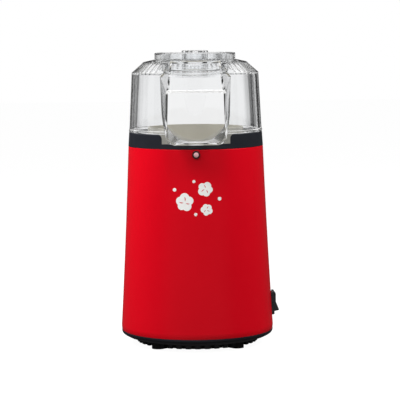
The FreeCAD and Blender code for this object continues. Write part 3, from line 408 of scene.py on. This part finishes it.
def crease_outline(angle, start, end, bend, steps=10):
    """A thin curved slit between two lobes, pointed at both ends."""
    middle = []
    for i in range(steps + 1):
        share = i / steps
        turn = math.radians(angle + bend * share)
        middle.append((start + (end - start) * share) * Vector((math.cos(turn), math.sin(turn))))
    across = (middle[-1] - middle[0]).orthogonal().normalized() * CREASE_HALF_WIDTH
    widths = [math.sin(math.pi * i / steps) for i in range(1, steps)]
    one_side = [point + across * width for point, width in zip(middle[1:-1], widths)]
    other_side = [point - across * width for point, width in zip(middle[1:-1], widths)]
    return [middle[0]] + one_side + [middle[-1]] + other_side[::-1]


def circle_outline(steps=24):
    angles = [2 * math.pi * i / steps for i in range(steps)]
    return [Vector((math.cos(angle), math.sin(angle))) for angle in angles]


def draw_loop(sheet, outline, across, up, size, turn=0.0):
    """Adds a closed line to a flat sheet that is measured across and up in millimetres."""
    turn = math.radians(turn)
    corners = []
    for point in outline:
        x = across + size * (point.x * math.cos(turn) - point.y * math.sin(turn))
        z = up + size * (point.x * math.sin(turn) + point.y * math.cos(turn))
        corners.append(sheet.verts.new((x, 0.0, z)))
    return [sheet.edges.new((corners[i - 1], corners[i])) for i in range(len(corners))]


def print_sheet():
    """The whole print as one flat sheet, measured in millimetres."""
    sheet = bmesh.new()
    for across, up, size, turn in FLAKES:
        edges = draw_loop(sheet, lobed_outline(), across, up, size, turn)
        for crease in CREASES:
            edges += draw_loop(sheet, crease_outline(*crease), across, up, size, turn)
        bmesh.ops.triangle_fill(sheet, use_beauty=True, edges=edges, normal=(0.0, -1.0, 0.0))
    for across, up, size in KERNELS:
        edges = draw_loop(sheet, circle_outline(), across, up, size)
        bmesh.ops.triangle_fill(sheet, use_beauty=True, edges=edges, normal=(0.0, -1.0, 0.0))
    for cut in range(-PRINT_HALF_WIDTH, PRINT_HALF_WIDTH + 1):
        everything = sheet.verts[:] + sheet.edges[:] + sheet.faces[:]
        bmesh.ops.bisect_plane(sheet, geom=everything, dist=1e-5, plane_co=(cut, 0, 0), plane_no=(1, 0, 0))
    return sheet


def lay_on(sheet, base):
    """Presses a flat sheet in millimetres onto the front of a node, and turns it into metres."""
    skin = BVHTree.FromPolygons([base.matrix_world @ v.co for v in base.data.vertices],
                                [tuple(face.vertices) for face in base.data.polygons])
    for vert in sheet.verts:
        start = Vector((vert.co.x * MM, IN_FRONT, vert.co.z * MM))
        spot, normal = skin.ray_cast(start, Vector((0.0, 1.0, 0.0)))[:2]
        vert.co = spot + normal * INK / 2


def front_print():
    """A white pictogram of popcorn flakes, printed on the housing and following its curve."""
    sheet = print_sheet()
    lay_on(sheet, nodes["outer_housing"])
    mesh = bpy.data.meshes.new("front_print")
    sheet.to_mesh(mesh)
    sheet.free()
    piece = bpy.data.objects.new("front_print", mesh)
    scene.collection.objects.link(piece)
    film = piece.modifiers.new("film", "SOLIDIFY")
    film.thickness = INK
    film.offset = 1.0
    mesh.materials.append(bpy.data.materials["white_plastic"])
    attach(piece, "housing")


# Studio ---------------------------------------------------------------------------------------

FLOOR_REACH = 6.0           # metres from the object to each side
FLOOR_GLOW = 0.97
SOFTBOX_SIZE = 0.4
SOFTBOX_AIM = (0.0, 0.0, 0.14)
SOFTBOXES = (       # name, azimuth from the front to the right in degrees, distance, height, watts
    ("rim", -115.0, 0.7, 0.9, 9.5),
    ("key", -60.0, 0.7, 0.9, 11.0),
    ("front", 0.0, 0.8, 1.15, 7.8),
    ("fill", 80.0, 0.7, 0.9, 11.0),
)

# How bright the surroundings are. A direction's height is -1 straight down, 0 level and 1 straight up.
AMBIENT = 0.15              # as light on matt surfaces
WHITE = 0.9                 # through clear plastic: the tent, and the dark boards in it
DARK = 0.02
BOARD_ANGLE = 45.0          # degrees from each set of boards to the next
BOARDS = (          # degrees from the middle of a set, and brightness
    (-22.4, DARK), (-9.4, DARK), (-8.8, 0.72), (-7.6, 0.75), (-7.0, WHITE), (5.4, WHITE), (6.0, 0.7),
    (7.1, 0.62), (7.7, DARK), (13.3, DARK), (14.0, 0.5), (21.0, 0.5), (21.6, DARK), (22.4, DARK),
)
BOARD_TOP = (0.5, 0.65)     # the heights between which the boards give way to the tent
BOARD_FOOT = (-0.075, -0.10)
ROOM = 0.05                 # mirrored in gloss: the room, its front wall, and its ceiling
FRONT_WALL = 0.3
CEILING = 2.2
HIGH_CEILING = 0.5
SKYLIGHT = 2.5


def add_floor():
    """A white sweep that only the camera and soft light see."""
    reach = FLOOR_REACH
    corners = [(-reach, -reach, 0), (reach, -reach, 0), (reach, reach, 0), (-reach, reach, 0)]
    mesh = bpy.data.meshes.new("floor")
    mesh.from_pydata(corners, [], [(0, 1, 2, 3)])
    floor = bpy.data.objects.new("floor", mesh)
    scene.collection.objects.link(floor)
    made, t = new_material("floor")
    paint = t.node("BsdfDiffuse", {"Color": grey(0.12)}).outputs[0]
    seen = t.math("MULTIPLY", t.node("LightPath").outputs["Is Camera Ray"], FLOOR_GLOW)
    glow = t.node("Emission", {"Color": grey(1.0), "Strength": seen}).outputs[0]
    t.surface(t.node("AddShader", {0: paint, 1: glow}).outputs[0])
    mesh.materials.append(made)
    floor.visible_glossy = False
    floor.visible_transmission = False


def tent(t, way):
    """What is seen through clear plastic: a white tent with dark boards near the horizon."""
    azimuth = t.math("MULTIPLY", t.math("ARCTAN2", way["X"], way["Y"]), 180.0 / math.pi)
    half = BOARD_ANGLE / 2
    share = t.step(t.math("WRAP", azimuth, half, -half), -half, half)
    boards = t.ramp(share, [(angle / BOARD_ANGLE + 0.5, level) for angle, level in BOARDS])
    beyond = t.math("MAXIMUM", t.step(way["Z"], *BOARD_TOP), t.step(way["Z"], *BOARD_FOOT))
    return t.math("MAXIMUM", boards, t.math("MULTIPLY", beyond, WHITE))


def room(t, way):
    """What is mirrored in gloss: a dim room with a lighter front wall, a bright ceiling and a skylight."""
    walls = t.between(t.step(way["Y"], -0.5, -0.8), ROOM, FRONT_WALL)
    brightness = t.between(t.step(way["Z"], 0.76, 0.82), CEILING, HIGH_CEILING)
    ceiling = t.math("MULTIPLY", t.step(way["Z"], 0.45, 0.6), brightness)
    skylight = t.math("MULTIPLY", t.step(way["Z"], 0.95, 0.98), SKYLIGHT)
    return t.math("ADD", walls, t.math("ADD", ceiling, skylight))


def add_world():
    world = bpy.data.worlds.new("studio")
    scene.world = world
    t = Tree(world)
    way = t.node("SeparateXYZ", {0: t.node("TexCoord").outputs["Generated"]}).outputs
    path = t.node("LightPath").outputs
    strength = AMBIENT
    for ray, value in (("Glossy", room(t, way)), ("Transmission", tent(t, way)), ("Camera", 1.0)):
        chosen = t.node("Mix", data_type="FLOAT")
        t.feed(chosen.inputs[0], path[f"Is {ray} Ray"])
        t.feed(chosen.inputs[2], strength)
        t.feed(chosen.inputs[3], value)
        strength = chosen.outputs[0]
    sky = t.node("Background", {"Color": grey(1.0), "Strength": strength}).outputs[0]
    t.node("OutputWorld", {"Surface": sky})


def add_lights():
    """Soft square lamps that clear plastic and gloss don't show."""
    for name, azimuth, away, height, power in SOFTBOXES:
        data = bpy.data.lights.new(name, "AREA")
        data.size = SOFTBOX_SIZE
        data.energy = power
        lamp = bpy.data.objects.new(name, data)
        turn = math.radians(azimuth)
        lamp.location = (away * math.sin(turn), -away * math.cos(turn), height)
        lamp.rotation_euler = (Vector(SOFTBOX_AIM) - lamp.location).to_track_quat("-Z", "Y").to_euler()
        lamp.visible_glossy = False
        lamp.visible_transmission = False
        scene.collection.objects.link(lamp)


def set_renderer():
    """Plain colours, and enough bounces for light to cross the dome and the cup."""
    scene.view_settings.view_transform = "Standard"
    scene.cycles.max_bounces = 36
    scene.cycles.transmission_bounces = 36
    scene.cycles.glossy_bounces = 16


# Build ----------------------------------------------------------------------------------------

add_camera()
add_world()
add_floor()
add_lights()
dress_frame(slot_materials())
front_print()
set_renderer()
